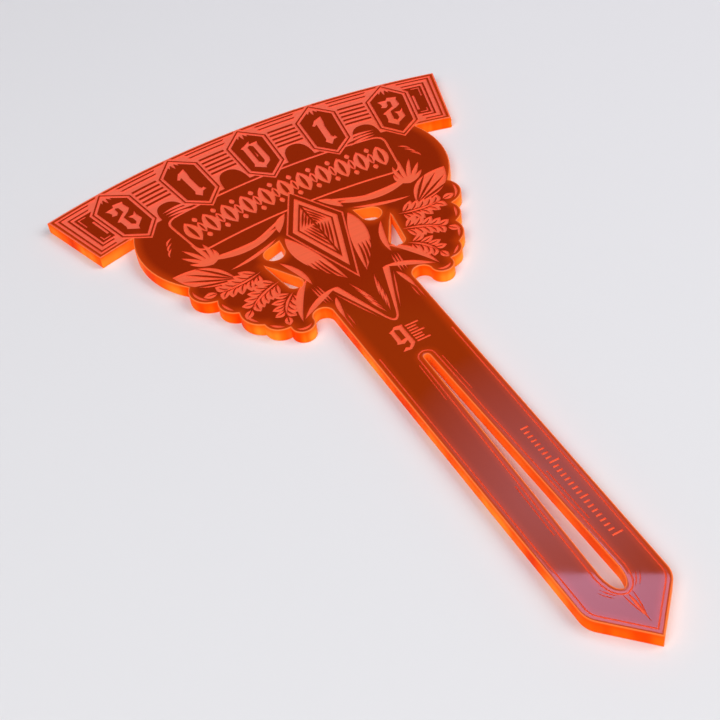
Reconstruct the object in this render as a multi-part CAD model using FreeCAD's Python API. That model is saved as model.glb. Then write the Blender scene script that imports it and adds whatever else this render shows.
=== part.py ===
import FreeCAD, Part
import math
import os

# A measuring ruler, cut and engraved by laser from one sheet of fluorescent acrylic.
# The point of the handle is the origin and lies on the rest face. +Y runs up the handle
# to the blade and +Z points out of the engraved face. The outer edge of the blade is an
# arc nine inches from the point, with five numbered cartouches one inch apart on it.
# All outlines are faces in the plane z = 0, raised to their real height at the end.

os.makedirs("parts", exist_ok=True)
Vec = FreeCAD.Vector

# ------------------------------------------------------------ driving sizes, millimetres
INCH = 25.4

SHEET = 4.0  # thickness of the acrylic
ENGRAVING = 0.3  # depth of every engraved area below the top face
HAIRLINE = 0.4  # width of the thinnest engraved lines

# Blade: a strip of ring round the point.
REACH = 9 * INCH  # from the point to the blade's outer edge
BLADE_WIDTH = 28.0  # measured along a radius
BLADE_HALF_ANGLE = 17.4  # degrees from the axis to each end

# Handle: a tapered bar with two flats that meet at the point.
SHOULDER_HEIGHT = 12.0  # from the point to where flat and side would meet
SHOULDER_WIDTH = 23.0
SHOULDER_RADIUS = 6.0
NECK_HEIGHT = 130.6  # from the point to where the head starts
NECK_WIDTH = 25.3
BORDER_INSET = 1.3  # from the handle's edge to its engraved border line
BORDER_TOP = 106.5  # from the point to where the border line stops
# Strokes at the neck: distance from the axis, and the heights that they run between.
NECK_MARKS = ((10.0, 121.6, 128.0), (11.1, 120.4, 128.4))

# Slot along the handle's axis: straight sides between a pointed arch and a round end.
SLOT_LOW_END = 14.4  # from the point to the slot's wide end
SLOT_LOW_WIDTH = 4.7
SLOT_ARCH_HEIGHT = 5.2
SLOT_HIGH_END = 101.3
SLOT_HIGH_RADIUS = 0.78
SLOT_LINE_GAP = 1.35  # from the slot's edge to the line engraved round it
SIDE_LINE_GAP = 2.45  # from the slot's edge to the short lines beside that one
SIDE_LINE_WIDTH = 0.3
SIDE_LINE_SPANS = ((34.0, 51.0), (84.0, 98.6))  # heights that they run between

# Head: leafy lobes between the neck and the blade, drawn on a grid of squares.
HEAD_HALF_WIDTH = 50.0
GRID_COLUMNS = 50
GRID_ROWS = 70

# Cartouches: tapered hexagons on radial lines. Depths are distances in from the blade's
# outer edge, and widths are to the outside of the outer ring.
CARTOUCHE_PITCH = INCH  # along the blade's outer edge
CARTOUCHE_TOP = 0.4
CARTOUCHE_SHOULDER = 8.6
CARTOUCHE_WAIST = 25.6
CARTOUCHE_BOTTOM = 32.6
CARTOUCHE_SHOULDER_WIDTH = 15.2
CARTOUCHE_WAIST_WIDTH = 13.8
OUTER_RING = 0.65
RING_GAP = 0.5
INNER_RING = 0.9
CAP_DEPTH = 4.7  # down to which the cartouche's top corner is engraved
NUMERAL_HEIGHT = 16.8
NUMERAL_WIDTHS = (6.2, 5.8, 6.8)  # of the 0, the 1 and the 2
NUMERAL_DEPTH = 17.5  # in from the blade's outer edge to the numeral's centre
NUMERAL_COLUMNS = 12
NUMERAL_ROWS = 34

# Ground between the cartouches: engraved, with plain stripes left standing.
OVERRUN = 1.0  # how far the laser runs past the edges of the blade
GROUND_MARGIN = 0.5  # from the ground to the blade's inner edge, above the head
# Each long stripe's depth in the middle, its width, and its distance to the cartouches.
LONG_STRIPES = ((1.5, 0.8, 0.3), (3.05, 0.7, 2.4), (5.15, 0.65, 1.2))
SHORT_STRIPES = 5
SHORT_STRIPE_TOP = 8.1  # depth of the first one's middle
SHORT_STRIPE_PITCH = 2.3
SHORT_STRIPE_WIDTH = 1.0
SHORT_STRIPE_LENGTH = 8.8
ARCH_TOPS = (19.2, 20.6)  # depth of the plain arches, from the middle outwards
ARCH_WIDTH = 8.8

# End panels: plain frames, one inside the other, round a plain bar. Each has distances in
# from the blade's end, outer edge and inner edge, a width, and a distance to the cartouche.
FRAMES = (
    (0.6, 1.1, 0.35, 0.8, 0.3),
    (2.3, 2.75, 1.95, 0.6, 1.9),
    (4.4, 4.9, 3.95, 0.6, 1.3),
)
BAR = (5.8, 6.6, 5.4)
BAR_CLEARANCE = 0.2
BAR_LINE = (0.65, 0.75, 11.6, 20.0)  # distance to the cartouche, width, and depths of its ends
BAR_MARKS = (0.8, 0.45, 2.9)  # inset and width of the marks in the bar's corners, and length

# Banner: a plain ribbon along an arc, with a band of ornament.
BANNER_TOP = 28.8
BANNER_HEIGHT = 21.2
BANNER_HALF_ANGLE = 10.9
BANNER_CORNER = 4.5
BANNER_LINE = 0.8
LOZENGE_HEIGHT = 11.0
LOZENGE_WIDTH = 4.6
LOZENGE_PITCH = 6.4

# Kite at the middle of the head, and the chevron under it.
KITE_BOTTOM = 8.2  # above the neck
KITE_HEIGHT = 48.4
KITE_SHOULDER = 29.4  # above the kite's lowest point
KITE_WIDTH = 18.8
KITE_RINGS = ((0.0, 0.55), (1.9, 1.5))  # each ring's inset and width
KITE_FACETS = 3.9  # inset of the facets
KITE_RIDGE = 0.6  # width of the plain line along the middle of the facets
KITE_CUTS = 4  # plain cuts across each facet
KITE_CUT_WIDTH = 0.65
CHEVRON_WIDTH = 18.4
CHEVRON_DEPTH = 21.4  # to the bottom of its rounded point
CHEVRON_ROUND = 2.7  # from there up to where each arm is straight
CHEVRON_ARMS = (0.85, 2.1)  # an arm's width at the point, and at its end
CHEVRON_LINE_GAP = 0.9  # from an arm to the thin line outside it
CHEVRON_STROKES = 4  # strokes inside each arm
CHEVRON_STROKE_LENGTH = 8.0

# Mark under the chevron: the reach in inches, with a short scale beside it.
NINE_HEIGHT = 10.2
NINE_WIDTH = 4.8
NINE_LEFT = 2.05  # from the axis to the middle of the numeral
NINE_DROP = 7.2  # from the chevron's point to the middle of the numeral
TICKS = 7
TICK_LEFT = 0.7  # from the axis to the foot of each tick
TICK_PITCH = 1.15
TICK_WIDTH = 0.55
TICK_LENGTHS = (4.0, 2.8)  # every third, and the others

# Graduations beside the slot, in sixteenths of an inch.
SCALE_START = 27.0  # above the point
SCALE_OFFSET = 6.2  # from the axis to the foot of each line
SCALE_LINES = 25
SCALE_LENGTHS = (1.6, 2.2, 2.8)  # sixteenths, halves and inches

# Leaf work.
LOBE_MARGIN = 1.1  # from the head's edge to the crescent inside each lobe
LOBE_CRESCENT = 0.8  # width of the crescent

# ------------------------------------------------------------------- what follows from them
INNER_REACH = REACH - BLADE_WIDTH
PITCH_ANGLE = math.degrees(CARTOUCHE_PITCH / REACH)
HEAD_HEIGHT = INNER_REACH - NECK_HEIGHT
KITE_Y = NECK_HEIGHT + KITE_BOTTOM


# ---------------------------------------------------------------------------- drawing aids
def polar(radius, angle):
    """The place at this distance from the point, angle degrees to the right of the axis."""
    turn = math.radians(angle)
    return Vec(radius * math.sin(turn), radius * math.cos(turn))


def grid(x, y):
    """A place on the head's grid, whose squares are about a millimetre: x from the axis,
    y up from the neck."""
    return Vec(x * HEAD_HALF_WIDTH / GRID_COLUMNS, NECK_HEIGHT + y * HEAD_HEIGHT / GRID_ROWS)


def line(start, end):
    return Part.LineSegment(start, end).toShape()


def arc(start, via, end):
    return Part.Arc(start, via, end).toShape()


def curve(start, pull, end):
    """A parabola that leaves start towards pull and comes to end from it."""
    bezier = Part.BezierCurve()
    bezier.setPoles([start, pull, end])
    return bezier.toShape()


def face(edges):
    return Part.Face(Part.Wire(edges))


def polygon(points):
    return Part.Face(Part.makePolygon(list(points) + [points[0]]))


def mirrored(shape):
    """The same shape on the other side of the axis."""
    return shape.mirror(Vec(), Vec(1, 0, 0))


def both_sides(shapes):
    return list(shapes) + [mirrored(s) for s in shapes]


def turned(shape, angle):
    """The shape swung about the point, angle degrees to the right."""
    copy = shape.copy()
    copy.rotate(Vec(), Vec(0, 0, 1), -angle)
    return copy


def joined(shapes):
    """One shape from overlapping faces, without the seams between them."""
    whole = shapes[0] if len(shapes) == 1 else shapes[0].fuse(list(shapes[1:]))
    return whole.removeSplitter()


def inset(shape, distance):
    """The outline moved inwards, or outwards where distance is negative, with sharp
    corners."""
    return shape.makeOffset2D(-distance, 2) if distance else shape


def ring(shape, start, width):
    """The band that lies between start and start + width inside an outline."""
    return inset(shape, start).cut(inset(shape, start + width))


def sector(inner, outer, start, end):
    """A strip of ring round the point, between two radii and two angles."""
    middle = (start + end) / 2
    return face(
        [
            arc(polar(inner, start), polar(inner, middle), polar(inner, end)),
            line(polar(inner, end), polar(outer, end)),
            arc(polar(outer, end), polar(outer, middle), polar(outer, start)),
            line(polar(outer, start), polar(inner, start)),
        ]
    )


def flame(root, tip, width, sway=0.0, belly=0.5):
    """A stroke that is pointed at both ends. Its middle stands sway to the left of the line
    from root to tip, and belly says how far along it the stroke is widest."""
    along = tip - root
    left = Vec(-along.y, along.x) / along.Length
    middle = root + along * belly
    return face(
        [
            curve(root, middle + left * (2 * sway + width), tip),
            curve(tip, middle + left * (2 * sway - width), root),
        ]
    )


def swung(ray, degrees):
    """A direction turned anticlockwise."""
    turn = math.radians(degrees)
    return Vec(
        ray.x * math.cos(turn) - ray.y * math.sin(turn),
        ray.x * math.sin(turn) + ray.y * math.cos(turn),
    )


def fan(root, tip, count, spread, width, sway=0.0):
    """Flames from one root, the longest to tip, turned evenly through spread degrees."""
    flames = []
    for number in range(count):
        part = number / (count - 1) * 2 - 1
        turn = part * spread / 2
        reach = math.cos(math.radians(1.5 * turn))
        ray = swung(tip - root, turn) * reach
        flames.append(flame(root, root + ray, width, sway + part * width / 2))
    return flames


def leaflet(root, tip, width, sway=0.0):
    """A small leaf whose midrib is left plain."""
    along = tip - root
    rib = flame(root - along * 0.1, root + along * 0.74, HAIRLINE, sway)
    return flame(root, tip, width, sway).cut(rib)


def spray(root, tip, sway, pairs, length, width):
    """A bowed stem with pairs of leaflets, which get shorter and lean further towards the
    tip, and one leaflet past its end."""
    along = tip - root
    left = Vec(-along.y, along.x) / along.Length
    stem = Part.BezierCurve()
    stem.setPoles([root, root + along / 2 + left * 2 * sway, tip])
    parts = [flame(root, tip, 2 * HAIRLINE, sway)]
    for number in range(pairs):
        share = 0.08 + 0.84 * number / pairs
        foot = stem.value(share)
        ahead = stem.tangent(share)[0]
        for side in (-1, 1):
            ray = swung(ahead, side * (58 - 22 * share))
            reach = length * (1 - 0.4 * share)
            start = foot + ray * (2.2 * HAIRLINE)
            parts.append(leaflet(start, start + ray * reach, width, -side * width / 5))
    ahead = stem.tangent(1)[0]
    parts.append(leaflet(tip + ahead * HAIRLINE, tip + ahead * length * 0.8, width))
    return parts


def drop(point, centre, radius):
    """A teardrop: a circle and the two lines to it from a point."""
    along = centre - point
    lean = math.asin(radius / along.Length)
    start = math.atan2(-along.y, -along.x)

    def rim(angle):
        return centre + Vec(radius * math.cos(angle), radius * math.sin(angle))

    first = rim(start + math.pi / 2 - lean)
    last = rim(start - math.pi / 2 + lean)
    return face(
        [line(point, first), arc(first, rim(start + math.pi), last), line(last, point)]
    )


# ------------------------------------------------------------------------- plate's outline
def blade():
    return sector(INNER_REACH, REACH, -BLADE_HALF_ANGLE, BLADE_HALF_ANGLE)


def handle():
    """The tapered bar from the point to inside the head, with rounded shoulders."""
    rise = (NECK_WIDTH - SHOULDER_WIDTH) / 2 / (NECK_HEIGHT - SHOULDER_HEIGHT)
    top = NECK_HEIGHT + KITE_BOTTOM
    shoulder = Vec(SHOULDER_WIDTH / 2, SHOULDER_HEIGHT)
    corner = Vec(NECK_WIDTH / 2 + rise * (top - NECK_HEIGHT), top)
    towards_point = -shoulder / shoulder.Length
    up = (corner - shoulder).normalize()
    half_turn = up.getAngle(towards_point) / 2
    back = SHOULDER_RADIUS / math.tan(half_turn)
    inward = (up + towards_point).normalize()
    via = shoulder + inward * (SHOULDER_RADIUS / math.sin(half_turn) - SHOULDER_RADIUS)
    flat_end = shoulder + towards_point * back
    side_start = shoulder + up * back
    half = [line(Vec(), flat_end), arc(flat_end, via, side_start), line(side_start, corner)]
    cap = line(corner, mirrored(Part.Vertex(corner)).Point)
    return face(half + [cap] + [mirrored(edge) for edge in reversed(half)])


# Lobes of the head's right edge, from the neck up: the place on the grid that each arc
# passes and the notch that it ends in. The first arc is the hollow beside the neck.
LOBES = (
    ((15.3, 2.8), (18.3, 0.4)),
    ((22.7, -3.4), (25.2, 0.7)),
    ((29.3, 2.0), (30.9, 5.7)),
    ((34.3, 9.0), (34.8, 14.3)),
    ((38.3, 17.8), (38.0, 22.4)),
    ((43.4, 26.4), (42.6, 32.7)),
    ((50.0, 48.6), (48.3, 64.0)),
)


def head():
    """Both sides of the leafy head, closed along the neck and inside the blade."""
    start = Vec(NECK_WIDTH / 2, NECK_HEIGHT)
    edges = []
    here = start
    for via, notch in LOBES:
        edges.append(arc(here, grid(*via), grid(*notch)))
        here = grid(*notch)
    closing = Vec(here.x, INNER_REACH)
    edges.append(line(here, closing))
    left = [mirrored(edge) for edge in reversed(edges)]
    top = line(closing, Vec(-closing.x, closing.y))
    bottom = line(Vec(-start.x, start.y), start)
    return face(edges + [top] + left + [bottom])


def slot(grown=0.0):
    """The slot's outline, or the same outline grown on every side."""
    end = Vec(0, SLOT_LOW_END - grown)
    side = Vec(SLOT_LOW_WIDTH / 2 + grown, SLOT_LOW_END + SLOT_ARCH_HEIGHT)
    pull = Vec(side.x * 0.9, end.y + SLOT_ARCH_HEIGHT / 9)
    top = Vec(0, SLOT_HIGH_END + grown)
    shoulder = Vec(SLOT_HIGH_RADIUS + grown, SLOT_HIGH_END - SLOT_HIGH_RADIUS)
    left_side, left_pull, left_shoulder = (Vec(-p.x, p.y) for p in (side, pull, shoulder))
    return face(
        [
            line(side, shoulder),
            arc(shoulder, top, left_shoulder),
            line(left_shoulder, left_side),
            curve(left_side, left_pull, end),
            curve(end, pull, side),
        ]
    )


def windows():
    """The through holes in the right side of the head: the eyes between leaves."""
    upper = drop(grid(12.3, 36.4), grid(15.9, 31.9), 3.0)
    lower = drop(grid(20.6, 28.6), grid(16.4, 16.6), 2.2)
    return [upper, lower]


# ------------------------------------------------------------------------------- engraving
def cartouche():
    """The outside of the cartouche that stands on the axis."""
    half = [
        Vec(0, REACH - CARTOUCHE_TOP),
        Vec(CARTOUCHE_SHOULDER_WIDTH / 2, REACH - CARTOUCHE_SHOULDER),
        Vec(CARTOUCHE_WAIST_WIDTH / 2, REACH - CARTOUCHE_WAIST),
        Vec(0, REACH - CARTOUCHE_BOTTOM),
    ]
    return polygon(half + [Vec(-p.x, p.y) for p in half[2:0:-1]])


# Each numeral's broad strokes, as outlines on a grid of NUMERAL_COLUMNS by NUMERAL_ROWS.
NUMERALS = {
    0: (
        (
            (0, 29), (3, 30.5), (7.5, 34), (6.5, 29.5), (4.4, 27.6), (4.4, 9),
            (7, 5.5), (6, 0), (0, 5.5), (1, 8), (1, 27),
        ),
        (
            (5, 30.6), (12, 31), (11.2, 27.5), (11.6, 9.5), (10.6, 6), (6.1, 1.8),
            (5.4, 4.6), (7.9, 8.4), (7.9, 27),
        ),
        ((5.6, 14), (6.7, 15.5), (6.1, 21.5)),
    ),
    1: (
        (
            (9.6, 34), (4, 31), (0.8, 25.6), (2.2, 24.2), (4, 26.2), (4, 7), (2.8, 4.4),
            (5.8, 0), (8.6, 4.6), (11.4, 5.4), (10.6, 8.4), (9.3, 7.4), (8.4, 9.8),
            (8.4, 22), (9.2, 27),
        ),
    ),
    2: (
        (
            (5, 30.2), (6.2, 33.8), (11.8, 32.4), (11, 29.6), (11.6, 23.4), (9.4, 20.8),
            (4.9, 17.6), (4.9, 8.2), (7.2, 5.4), (5.8, 0), (0.7, 5.8), (1.4, 8),
            (1.4, 14.6), (0, 16), (1.4, 17.4), (7.3, 22.6), (7.3, 28.6),
        ),
        (
            (0, 30.7), (2.6, 31), (6.6, 31.2), (5.2, 28.4), (5, 24.6), (3.4, 22.4),
            (0.7, 23.6), (1.8, 25.6), (1.2, 28.6),
        ),
        (
            (12, 18.4), (11.2, 14.4), (11.7, 8.6), (5.8, 2.2), (5.4, 4.6), (7.9, 8.4),
            (7.9, 12.8), (6.7, 15.8), (9.7, 15.2),
        ),
    ),
    9: (
        (
            (3.8, 31), (6, 34), (12, 32.8), (11.4, 29.8), (11.4, 6.6), (9.4, 3.4), (6.2, 0),
            (0, 1), (3.6, 4.9), (5.8, 3.4), (7.9, 6.4), (7.9, 28),
        ),
        (
            (5.6, 32.4), (0.6, 29.2), (1.2, 26.8), (1, 14.6), (0, 11.9), (4.8, 9.6),
            (8.6, 12.9), (8.2, 15.8), (4.4, 14.9), (4.4, 28),
        ),
    ),
}


def numeral(digit, centre, width, height):
    """A digit in broad spiked strokes, scaled from its grid to its width and height."""

    def place(column, row):
        across = (column / NUMERAL_COLUMNS - 0.5) * width
        return centre + Vec(across, (row / NUMERAL_ROWS - 0.5) * height)

    return [polygon([place(*point) for point in stroke]) for stroke in NUMERALS[digit]]


def sunrise():
    """The engraved top corner of a cartouche, and the flames under it."""
    wide = CARTOUCHE_SHOULDER_WIDTH
    cap = box(Vec(-wide, REACH - CAP_DEPTH), 2 * wide, CAP_DEPTH)
    root = Vec(0, REACH - CARTOUCHE_TOP - 2 * OUTER_RING)
    return [cap] + fan(root, root - Vec(0, 5.6), 5, 74, 1.0)


def cartouche_lines(digit):
    """Everything engraved inside one cartouche on the axis."""
    centre = Vec(0, REACH - NUMERAL_DEPTH)
    outline = cartouche()
    lines = [
        ring(outline, 0, OUTER_RING),
        ring(outline, OUTER_RING + RING_GAP, INNER_RING),
    ]
    lines += numeral(digit, centre, NUMERAL_WIDTHS[digit], NUMERAL_HEIGHT)
    inside = inset(outline, OUTER_RING + RING_GAP)
    return lines + [area.common(inside) for area in sunrise()]


def arch(depth):
    """A plain pointed arch that rises into the ground between two cartouches."""
    foot = INNER_REACH - GROUND_MARGIN
    top = Vec(0, REACH - depth)
    left = Vec(-ARCH_WIDTH / 2, foot)
    right = Vec(ARCH_WIDTH / 2, foot)
    return face(
        [
            curve(left, Vec(left.x, top.y), top),
            curve(top, Vec(right.x, top.y), right),
            line(right, left),
        ]
    )


def ground():
    """The engraved ground of the blade, less the stripes, frames and cartouches. It runs
    over the blade's edges everywhere but above the head."""
    end = BLADE_HALF_ANGLE + math.degrees(OVERRUN / REACH)
    field = sector(INNER_REACH + GROUND_MARGIN, REACH + OVERRUN, -end, end)
    head_end = math.degrees(math.asin((grid(*LOBES[-1][1]).x + OVERRUN) / INNER_REACH))
    lip = sector(INNER_REACH - OVERRUN, INNER_REACH + 2 * GROUND_MARGIN, head_end, end)
    plain = [turned(cartouche(), step * PITCH_ANGLE) for step in range(-2, 3)]
    arches = [
        turned(arch(depth), (step + 0.5) * PITCH_ANGLE)
        for step, depth in enumerate(ARCH_TOPS)
    ]
    plain += stripes() + both_sides(arches + end_panel())
    return joined([field] + both_sides([lip])).cut(plain)


def round_cartouche(step, clearance):
    """The outside of one of the cartouches, moved outwards."""
    return turned(inset(cartouche(), -clearance), step * PITCH_ANGLE)


def stripes():
    """The plain stripes between the cartouches: long ones above the cartouches' shoulders
    and a ladder of short ones between each two."""
    plain = []
    for depth, width, clearance in LONG_STRIPES:
        top = REACH - depth + width / 2
        stripe = sector(top - width, top, -2 * PITCH_ANGLE, 2 * PITCH_ANGLE)
        plain.append(stripe.cut([round_cartouche(step, clearance) for step in range(-2, 3)]))
    for number in range(SHORT_STRIPES):
        top = REACH - SHORT_STRIPE_TOP - number * SHORT_STRIPE_PITCH
        half = math.degrees(SHORT_STRIPE_LENGTH / 2 / top)
        stripe = sector(top - SHORT_STRIPE_WIDTH, top, -half, half)
        plain += [turned(stripe, (step + 0.5) * PITCH_ANGLE) for step in range(-2, 2)]
    return plain


def panel(side, top, foot, start=2 * PITCH_ANGLE):
    """A piece of the blade's right end, at distances in from its end and its two edges."""
    end = BLADE_HALF_ANGLE - math.degrees(side / REACH)
    return sector(INNER_REACH + foot, REACH - top, start, end)


def end_panel():
    """The plain frames, open towards the cartouche, and the plain bar at the blade's right
    end."""
    parts = []
    for side, top, foot, width, clearance in FRAMES:
        hollow = panel(side + width, top + width, foot + width, 0)
        parts.append(panel(side, top, foot).cut([hollow, round_cartouche(2, clearance)]))
    return parts + [panel(*BAR).cut(round_cartouche(2, BAR_CLEARANCE))]


def bar_lines():
    """The engraved line in the bar beside the cartouche, and the marks in two corners."""
    side, top, foot = BAR
    clearance, width, high, low = BAR_LINE
    line_ = round_cartouche(2, clearance + width).cut(round_cartouche(2, clearance))
    inset_, mark_width, length = BAR_MARKS
    edge = [distance + inset_ for distance in BAR]
    marks = panel(*edge).cut(panel(*(distance + mark_width for distance in edge), 0))
    corner_start = BLADE_HALF_ANGLE - math.degrees((edge[0] + length) / REACH)
    corners = [
        panel(side, top, BLADE_WIDTH - top - 2 * length, corner_start),
        panel(side, BLADE_WIDTH - foot - length, foot, corner_start),
    ]
    return [line_.common(panel(side, high, BLADE_WIDTH - low))] + [
        marks.common(corner) for corner in corners
    ]


def lozenge(height, width):
    """A pointed upright lozenge on the axis, with a plain slit down its middle."""
    middle = Vec(0, REACH - BANNER_TOP - BANNER_HEIGHT / 2)
    half = Vec(0, height / 2)
    slit = flame(middle - half * 0.7, middle + half * 0.7, width * 0.26)
    return flame(middle - half, middle + half, width).cut(slit)


def ribbon(margin):
    """The ribbon's outline moved inwards by margin: a strip of ring with round corners."""
    outer = REACH - BANNER_TOP - margin
    inner = outer - BANNER_HEIGHT + 2 * margin
    end = BANNER_HALF_ANGLE - math.degrees(margin / outer)
    corner = BANNER_CORNER - margin
    turn = math.degrees(corner / outer)
    half = [
        arc(polar(outer, 0), polar(outer, end / 2), polar(outer, end - turn)),
        curve(polar(outer, end - turn), polar(outer, end), polar(outer - corner, end)),
        line(polar(outer - corner, end), polar(inner + corner, end)),
        curve(polar(inner + corner, end), polar(inner, end), polar(inner, end - turn)),
        arc(polar(inner, end - turn), polar(inner, end / 2), polar(inner, 0)),
    ]
    return face(half + [mirrored(edge) for edge in reversed(half)])


def banner():
    """The ribbon's outline and its band of ornament, great and small lozenges in turn."""
    parts = [ribbon(0).cut(ribbon(BANNER_LINE))]
    middle = REACH - BANNER_TOP - BANNER_HEIGHT / 2
    step = math.degrees(LOZENGE_PITCH / middle)
    count = math.floor(BANNER_HALF_ANGLE / step - 0.6)
    pip = Vec(0, LOZENGE_WIDTH * 0.3)
    for number in range(-count, count + 1):
        parts.append(turned(lozenge(LOZENGE_HEIGHT, LOZENGE_WIDTH), number * step))
        if number == count:
            continue
        between = (number + 0.5) * step
        parts.append(turned(lozenge(LOZENGE_HEIGHT * 0.55, LOZENGE_WIDTH * 0.5), between))
        for end in (-1, 1):
            place = Vec(0, middle + end * LOZENGE_HEIGHT * 0.42)
            dot = flame(place - pip, place + pip, LOZENGE_WIDTH * 0.36)
            parts.append(turned(dot, between))
    return parts


def ribbon_folds():
    """Strokes where the ribbon turns under itself at its right end."""
    parts = []
    for number in range(3):
        low = grid(7.6 + 1.3 * number, 46.2 - 1.7 * number)
        parts.append(flame(low, grid(18.4 + 1.6 * number, 40.6 - 0.2 * number), 0.9, -0.5))
    for number in range(3):
        root = grid(26.4 - 0.6 * number, 66.2 + 1.9 * number)
        parts.append(flame(root, root + Vec(9.4 + number, 0.9 - 0.6 * number), 1.1, 0.8))
    return parts


def kite():
    """The outside of the kite."""
    shoulder = KITE_Y + KITE_SHOULDER
    return polygon(
        [
            Vec(0, KITE_Y + KITE_HEIGHT),
            Vec(KITE_WIDTH / 2, shoulder),
            Vec(0, KITE_Y),
            Vec(-KITE_WIDTH / 2, shoulder),
        ]
    )


def kite_lines():
    """The kite's rings and, inside them, an engraved cut stone: four facets with plain cuts
    along their outer sides, left and right of a plain ridge."""
    outline = kite()
    rings = [ring(outline, start, width) for start, width in KITE_RINGS]
    stone = inset(outline, KITE_FACETS)
    extent = stone.BoundBox
    level = KITE_Y + KITE_SHOULDER
    cuts = []
    for number in range(1, KITE_CUTS + 1):
        share = number / (KITE_CUTS + 1)
        for end in (extent.YMin, extent.YMax):
            root = Vec(0, level + (end - level) * share)
            corner = Vec(extent.XMax * share, level)
            cuts.append(flame(root, root + (corner - root) * 0.94, KITE_CUT_WIDTH))
    ridge = box(Vec(-KITE_RIDGE / 2, extent.YMin), KITE_RIDGE, extent.YLength)
    return rings + [stone.cut([ridge] + both_sides(cuts))]


def chevron():
    """The two arms under the kite, which narrow to a round point, with strokes inside them
    and a thin line outside."""
    bottom = Vec(0, KITE_Y - CHEVRON_DEPTH)
    low, high = CHEVRON_ARMS

    def side(start, end):
        """Where the arms' straight edges begin and meet, for an edge from start to end."""
        meet = start - Vec(0, CHEVRON_ROUND)
        share = 2 * CHEVRON_ROUND / (end.y - meet.y)
        return meet, meet + (end - meet) * share

    corner = Vec(CHEVRON_WIDTH / 2, KITE_Y)
    inner_corner = corner - Vec(high, 0)
    meet, straight = side(bottom, corner)
    inner_meet, inner_straight = side(bottom + Vec(0, low), inner_corner)
    arms = face(
        [
            curve(Vec(-straight.x, straight.y), meet, straight),
            line(straight, corner),
            line(corner, inner_corner),
            line(inner_corner, inner_straight),
            curve(inner_straight, inner_meet, Vec(-inner_straight.x, inner_straight.y)),
            line(Vec(-inner_straight.x, inner_straight.y), Vec(-inner_corner.x, corner.y)),
            line(Vec(-inner_corner.x, corner.y), Vec(-corner.x, corner.y)),
            line(Vec(-corner.x, corner.y), Vec(-straight.x, straight.y)),
        ]
    )
    flames = []
    rise = (inner_corner - inner_straight).normalize() * CHEVRON_STROKE_LENGTH
    for number in range(CHEVRON_STROKES):
        root = Vec(0.5 + 0.12 * number, inner_straight.y + 0.7 + 2.2 * number)
        flames.append(flame(root, root + rise * (1 + 0.1 * number), 0.6))
    gap = Vec(CHEVRON_LINE_GAP, 0)
    span = corner - straight
    flames.append(flame(straight + span * 0.05 + gap, straight + span * 0.9 + gap, 0.5))
    return [arms] + both_sides(flames)


def handle_lines():
    """The border line along the handle's edge, the slot's outlines and the strokes at the
    neck."""
    top = box(Vec(-NECK_WIDTH, BORDER_TOP), 2 * NECK_WIDTH, NECK_HEIGHT)
    lines = [ring(handle(), BORDER_INSET, HAIRLINE).cut(top)]
    lines.append(slot(SLOT_LINE_GAP + HAIRLINE).cut(slot(SLOT_LINE_GAP)))
    beside = slot(SIDE_LINE_GAP + SIDE_LINE_WIDTH).cut(slot(SIDE_LINE_GAP))
    for start, end in SIDE_LINE_SPANS:
        lines.append(beside.common(box(Vec(-NECK_WIDTH, start), 2 * NECK_WIDTH, end - start)))
    marks = [flame(Vec(x, low), Vec(x, high), HAIRLINE) for x, low, high in NECK_MARKS]
    return lines + both_sides(marks)


def spear():
    """The leaf that runs from the slot's wide end towards the point, and the strokes beside
    the slot's end."""
    low = Vec(0, SLOT_LOW_END - SLOT_LINE_GAP - HAIRLINE / 2)
    sides = [
        flame(Vec(0.1, SHOULDER_HEIGHT / 2), low + Vec(1.2, 0.5), HAIRLINE, -0.2, 0.6),
        flame(low + Vec(2.2, 0.4), low + Vec(4.8, 4.0), HAIRLINE * 0.8, -0.2),
        flame(low + Vec(3.2, 0.3), low + Vec(5.5, 3.5), HAIRLINE * 0.7, -0.2),
    ]
    leaf = flame(Vec(0, SHOULDER_HEIGHT * 0.36), low, HAIRLINE * 2, belly=0.7)
    return [leaf] + both_sides(sides)


def nine():
    """The numeral nine under the chevron, for the reach in inches, with a short scale."""
    height = KITE_Y - CHEVRON_DEPTH - NINE_DROP
    parts = numeral(9, Vec(-NINE_LEFT, height), NINE_WIDTH, NINE_HEIGHT)
    first = height - TICK_PITCH * (TICKS - 1) / 2
    for number in range(TICKS):
        length = TICK_LENGTHS[number % 3 != 0]
        parts.append(box(Vec(TICK_LEFT, first + number * TICK_PITCH), length, TICK_WIDTH))
    return parts


def scale():
    """A row of graduations to the right of the slot, each sixteenth of an inch apart."""
    parts = []
    for number in range(SCALE_LINES):
        length = SCALE_LENGTHS[(number % 8 == 0) + (number % 16 == 0)]
        low = Vec(SCALE_OFFSET, SCALE_START + number * INCH / 16)
        parts.append(box(low, length, TICK_WIDTH))
    return parts


def box(corner, width, height):
    """A rectangle from its lower left corner."""
    return polygon(
        [
            corner,
            corner + Vec(width, 0),
            corner + Vec(width, height),
            corner + Vec(0, height),
        ]
    )


def collar():
    """The leaf that stands beside the kite's lower side, torn at its foot."""
    leaf = flame(grid(10.4, 36.6), grid(3.0, 9.8), 5.6, 1.2, 0.35)
    tears = [
        flame(grid(3.4 + 1.1 * number, 10.4), grid(6.4 + 1.2 * number, 22.0), 0.7, -0.4)
        for number in range(4)
    ]
    return leaf.cut(tears)


def great_leaf():
    """The widest leaf of the head, its veins left plain."""
    root = grid(29.4, 28.0)
    leaf = flame(root, grid(45.0, 39.4), 8.6, 0.3)
    return leaf.cut(fan(root, grid(42.4, 37.2), 4, 34, 0.8))


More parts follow.
